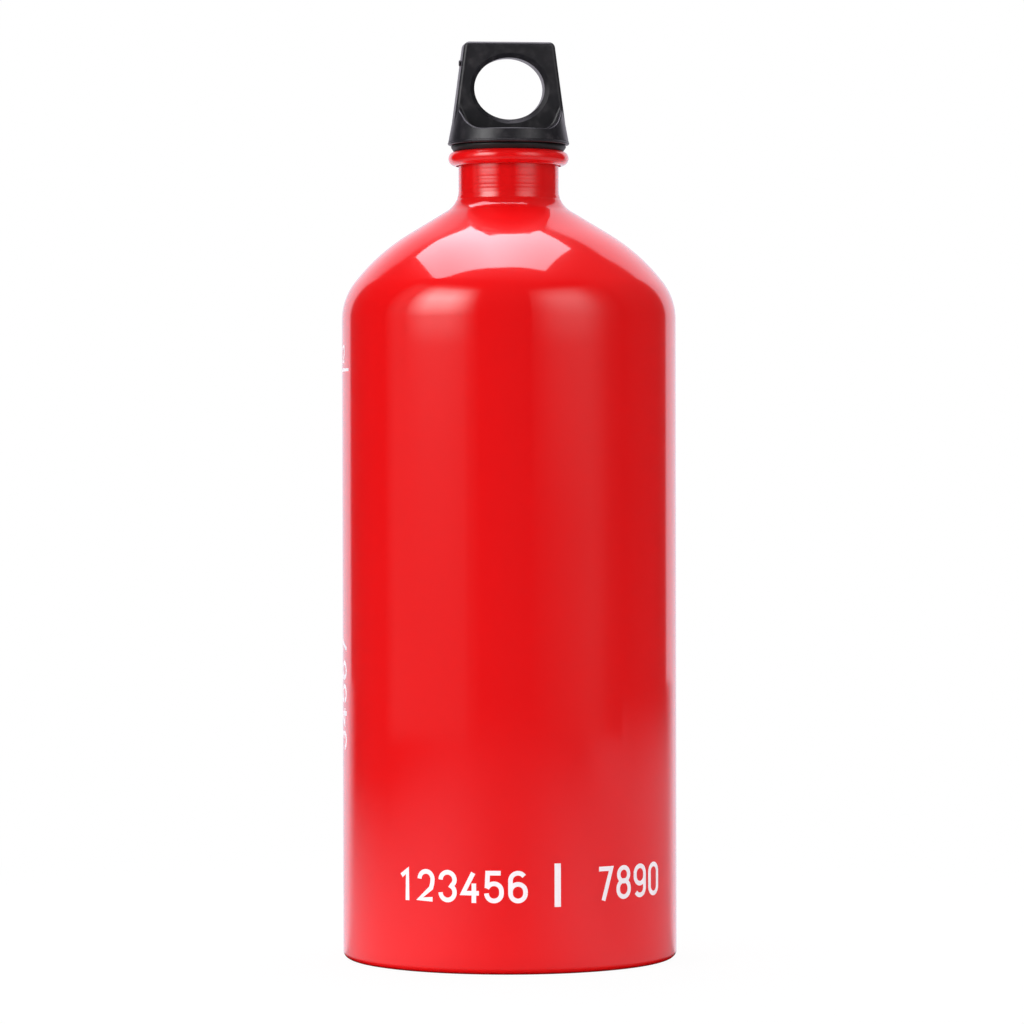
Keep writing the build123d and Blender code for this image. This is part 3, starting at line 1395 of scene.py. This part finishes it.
def put_on_stage(name: str, shape: bmesh.types.BMesh, material: bpy.types.Material, seen: bool) -> None:
    """Makes a thing of the studio's.

    Args:
        name: its name.
        shape: its bmesh, which is freed.
        material: its material.
        seen: whether the camera sees it straight.
    """
    thing = finished(name, shape, [material])
    thing.visible_camera = seen


@dataclass
class Softbox:
    """A curved studio panel beside the bottle."""

    name: str
    side: Side
    azimuths: Pair  # degrees from the camera's direction to its near and far edge
    glow: Glow
    top: float = 59.0  # elevation of its upper edge
    distance: float = 1.1
    centre_height: float = 150 * MM
    columns: int = 16
    rows: int = 18

    def _material(self) -> bpy.types.Material:
        """Makes the panel's light.

        Returns:
            Its material.
        """
        material, tree = new_material(self.name)
        x, y, z = tree.parts(tree.place())
        rise = (z - self.centre_height).angle_over(tree.radius(x, y))
        azimuth = x.size().angle_over(y * -1.0)
        tree.end(tree.light(WHITE, self.glow.strength(tree, rise, azimuth)))
        return material

    def build(self) -> None:
        """Makes the panel, which reaches down to the table."""
        low = -math.degrees(math.asin(self.centre_height / self.distance))
        near, far = self.azimuths
        shape = bmesh.new()
        grid = []
        for i in range(self.columns + 1):
            azimuth = math.radians(near + (far - near) * i / self.columns)
            line = []
            for k in range(self.rows + 1):
                rise = math.radians(low + (self.top - low) * k / self.rows)
                flat = self.distance * math.cos(rise)
                x, y = self.side * flat * math.sin(azimuth), -flat * math.cos(azimuth)
                line.append(shape.verts.new((x, y, self.centre_height + self.distance * math.sin(rise))))
            grid.append(line)
        for i in range(self.columns):
            for k in range(self.rows):
                shape.faces.new((grid[i][k], grid[i + 1][k], grid[i + 1][k + 1], grid[i][k + 1]))
        put_on_stage(self.name, shape, self._material(), seen=False)


@dataclass
class OverheadSoftbox:
    """The flat panel above the bottle and a little behind it."""

    height: float = 0.86
    corners: Points = (
        (-0.42, -0.05), (-0.05, -0.105), (0.195, -0.095), (0.284, 0.256), (0.10, 0.39), (-0.15, 0.455),
        (-0.30, 0.49), (-0.445, 0.437),
    )
    glow_by_place: Points = (
        (-0.45, 3.5), (-0.30, 3.7), (-0.16, 4.7), (-0.08, 5.4), (0, 5.0), (0.07, 4.45), (0.16, 3.8),
        (0.28, 3.6),
    )  # brightness along X

    def build(self) -> None:
        """Makes the panel and its light."""
        shape = bmesh.new()
        shape.faces.new([shape.verts.new((x, y, self.height)) for x, y in self.corners])
        material, tree = new_material("softbox_overhead")
        x, _, _ = tree.parts(tree.place())
        tree.end(tree.light(MIRROR_TINT, tree.graph(x, self.glow_by_place)))
        put_on_stage("softbox_overhead", shape, material, seen=False)


@dataclass
class Backdrop:
    """White for the camera, a white backdrop behind the bottle, and a darker room all round."""

    half_angles: Pair = (38.5, 42.0)  # how far the backdrop reaches to the left and right
    tops: Pair = (47.0, 53.5)  # elevation of its upper edge, left and right
    edge: float = 2.5  # half the width of its soft edge
    middle: float = 0.1  # half the width of the stretch where left passes into right
    loss: float = 0.13  # how much darker than white the backdrop is in gloss
    fall: float = 0.5  # and how much is lost besides towards its top on the left
    fall_rises: Pair = (12.0, 50.0)
    dark: float = 0.01  # of the room, in gloss
    ambient_sides: Pair = (0.31, 0.89)  # light of the room that reaches the matt layer, left and right
    ambient_turn: Pair = (-0.7, 0.9)  # where along X the one passes into the other
    ambient_above: float = 1.9  # and how much stronger it is overhead

    def build(self) -> None:
        """Gives the scene its world."""
        world = bpy.data.worlds.new("studio")
        world.use_nodes = True
        bpy.context.scene.world = world
        tree = ShaderTree(world.node_tree)
        seen, mirrored = tree.rays()
        x, y, z = tree.parts(tree.node("ShaderNodeTexCoord")["Generated"])
        aside = x.size().angle_over(y)
        rise = z.angle_over(y.at_least(LEAST_REACH))
        right = x.step(-self.middle, self.middle)
        beside = (aside - right.between(*self.half_angles)).step(-self.edge, self.edge)
        above = (rise - right.between(*self.tops)).step(-self.edge, self.edge)
        inside = (1.0 - beside) * (1.0 - above)
        loss = (1.0 - right) * rise.step(*self.fall_rises) * self.fall + self.loss
        ambient = x.step(*self.ambient_turn).between(*self.ambient_sides)
        ambient = ambient * z.step(0.0, 1.0).between(1.0, self.ambient_above)
        room = mirrored * self.dark + (1.0 - mirrored) * ambient
        lit = inside * (1.0 - mirrored * loss) + (1.0 - inside) * room
        sockets = {"Color": tree.white(mirrored), "Strength": seen + (1.0 - seen) * lit}
        tree.end(tree.node("ShaderNodeBackground", None, sockets)[0], "ShaderNodeOutputWorld")


@dataclass(frozen=True)
class TableSide:
    """How the table looks in gloss, on one side of the bottle."""

    level: float
    fade: Pair  # distances over which it fades to dark
    wedge: Pair  # azimuths over which the white behind the bottle ends


@dataclass
class Table:
    """The white table that the bottle stands on, which keeps its shadow."""

    radius: float = 1.6
    corners: int = 128
    colour: Colour = (0.88, 0.88, 0.88)
    paper_share: float = 0.05  # share of the table's look that the light gives it
    paper_radii: Pair = (0.10, 0.35)  # distances over which that share is lost
    left: TableSide = TableSide(level=0.48, fade=(0.1, 0.85), wedge=(30.0, 50.0))
    right: TableSide = TableSide(level=0.36, fade=(0.6, 1.5), wedge=(22.0, 45.0))
    side_turn: Pair = (0.3, 0.8)  # where the left side passes into the right one
    side_skew: float = 0.5  # and how much that turns with the distance behind the bottle
    front_level: float = 0.15
    front_power: float = 6.0  # the higher, the narrower the darker front
    front_reach: float = 0.8  # how much further away the fade lies in front
    back_level: float = 0.86
    foot_radius: float = 50 * MM
    foot_shadow_width: float = 4 * MM  # width of the painted shadow ring round the foot, as gloss shows it
    glow_sides: Pair = (0.85, 0.30)  # light thrown on the bottle's foot, left and right
    glow_radii: Pair = (0.06, 0.11)

    def _in_gloss(self, x: Wire, y: Wire, out: Wire) -> Wire:
        """Works out how bright the table looks in gloss.

        Args:
            x: the place on the table, to the right of the bottle's axis.
            y: the same, behind it.
            out: its distance from the axis.

        Returns:
            The brightness, without the painted shadow ring round the foot.
        """
        forward = ((y * -1.0) / out.at_least(LEAST_REACH)).clamp()
        reach = out / (forward * self.front_reach + 1.0)
        aside = (x.size() - self.foot_radius).at_least(0.0).angle_over(y)
        sides = []
        for side in (self.left, self.right):
            lit = side.level - forward.math("POWER", self.front_power) * (side.level - self.front_level)
            lit = lit * (1.0 - reach.step(*side.fade))
            sides.append((1.0 - aside.step(*side.wedge)).between(lit, self.back_level))
        right = ((x + y * self.side_skew) / out.at_least(LEAST_REACH)).step(*self.side_turn)
        return right.between(*sides)

    def build(self) -> None:
        """Makes the table and its material."""
        shape = bmesh.new()
        bmesh.ops.create_circle(shape, cap_ends=True, radius=self.radius, segments=self.corners)
        material, tree = new_material("white_table")
        seen, mirrored = tree.rays()
        x, y, _ = tree.parts(tree.place())
        out = tree.radius(x, y)
        # painted shadow: the table's gloss is darkened in a ring round the foot
        ring = out.step(self.foot_radius, self.foot_radius + self.foot_shadow_width)
        lit = self._in_gloss(x, y, out) * ring
        paper = tree.node("ShaderNodeBsdfDiffuse", None, {"Color": (*self.colour, 1.0)})[0]
        white = tree.light(tree.white(mirrored), mirrored * lit + seen)
        paint = out.step(*self.paper_radii).between(1.0 - self.paper_share, 1.0)
        surface = tree.node("ShaderNodeMixShader", None, {0: mirrored + seen * paint, 1: paper, 2: white})[0]
        by_side = (x / out.at_least(LEAST_REACH)).step(-1.0, 1.0)
        near = ring * (1.0 - out.step(*self.glow_radii))
        plain = 1.0 - mirrored.at_least(seen)
        glow = tree.light(WHITE, plain * near * by_side.between(*self.glow_sides))
        tree.end(tree.node("ShaderNodeAddShader", None, {0: surface, 1: glow})[0])
        put_on_stage("white_table", shape, material, seen=True)


@dataclass
class PhotoCamera:
    """The camera at the photograph's viewpoint."""

    picture_side: int = 1024  # pixels along each side of the photograph
    distance: float = 1338 * MM
    height: float = 152.4 * MM
    focal_pixels: float = 4463.0
    horizon_row: float = 448.3
    axis_column: float = 509.2
    lean: float = -0.11  # degrees that the picture's upright leans to the right
    sensor: float = 36.0
    clip: Pair = (0.05, 50.0)

    def build(self) -> None:
        """Makes the camera and gives it to the scene."""
        middle = self.picture_side / 2
        lens = bpy.data.cameras.new("camera")
        lens.sensor_width = self.sensor
        lens.lens = self.focal_pixels * self.sensor / self.picture_side
        lens.clip_start, lens.clip_end = self.clip
        camera = in_scene("camera", lens)
        pitch = math.atan((middle - self.horizon_row) / self.focal_pixels)
        aside = (middle - self.axis_column) / self.focal_pixels * self.distance
        camera.location = (aside, -self.distance, self.height)
        tilt = Matrix.Rotation(math.pi / 2 - pitch, 4, "X")
        roll = Matrix.Rotation(math.radians(self.lean), 4, "Z")
        camera.rotation_euler = (tilt @ roll).to_euler()
        bpy.context.scene.camera = camera


@dataclass
class FuelBottle:
    """The whole object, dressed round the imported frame."""

    frame: dict
    neck_crest: float = 12.4 * MM
    neck_thread_drop: float = 10.6 * MM  # from the rim down to the foot of the neck's thread
    neck_turns: float = 1.95
    stem_radius: float = 11.9 * MM
    stem_crest: float = 13.1 * MM
    stem_thread_drop: float = 12.6 * MM
    stem_turns: float = 2.7

    def _seat(self, piece: bpy.types.Object, body: Body, slot: Slot | None, *nodes: str) -> None:
        """Makes a piece ride on a body.

        Args:
            piece: the piece.
            body: the body.
            slot: the material slot that it stands for, if any; not used.
            nodes: the CAD nodes that it replaces.
        """
        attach(piece, body.value)
        if nodes:
            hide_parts(*nodes)
        logging.info("%s rides on %s: %d faces", piece.name, body.value, len(piece.data.polygons))

    def _dress_cap(self) -> bpy.types.Material:
        """Gives the cap's own mesh its finish.

        Returns:
            The finish.
        """
        plastic = MouldedPlastic().material()
        cap = self.frame["nodes"]["screw_cap"]
        cap.data.materials.clear()
        cap.data.materials.append(plastic)
        logging.info("%s keeps its mesh and gets %s", cap.name, plastic.name)
        return plastic

    def build(self) -> None:
        """Builds and seats every piece."""
        _, shell_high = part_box("bottle_shell")
        seal_low, seal_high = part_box("seal_ring")
        radius, rim = shell_high.x, shell_high.z
        shell = BottleShell(radius=radius, rim_height=rim)
        self._seat(shell.build(), Body.BOTTLE, Slot.ENAMEL, "bottle_shell")
        seal = SealRing(foot_height=seal_low.z, top_height=seal_high.z)
        self._seat(seal.build(), Body.SEAL, Slot.RUBBER, "seal_ring")
        plastic = self._dress_cap()
        foot = rim - self.neck_thread_drop
        neck_thread = ScrewThread("neck_thread", shell.bore, self.neck_crest, foot, self.neck_turns)
        self._seat(neck_thread.build(shell.metal.material()), Body.BOTTLE, None)
        foot = rim - self.stem_thread_drop
        stem_thread = ScrewThread("stem_thread", self.stem_radius, self.stem_crest, foot, self.stem_turns)
        self._seat(stem_thread.build(plastic), Body.CAP, Slot.PLASTIC)
        for piece in Printed(radius=radius).build():
            self._seat(piece, Body.BOTTLE, None)


def main() -> None:
    """Loads the frame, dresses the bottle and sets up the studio."""
    logging.basicConfig(level=logging.INFO, format="%(message)s")
    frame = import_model()
    FuelBottle(frame).build()
    Backdrop().build()
    Table().build()
    OverheadSoftbox().build()
    Softbox("softbox_left", Side.LEFT, (19.0, 92.0), LEFT_GLOW).build()
    Softbox("softbox_right", Side.RIGHT, (15.0, 82.0), RIGHT_GLOW).build()
    PhotoCamera().build()
    bpy.context.scene.view_settings.view_transform = "Standard"


if __name__ == "__main__":
    main()
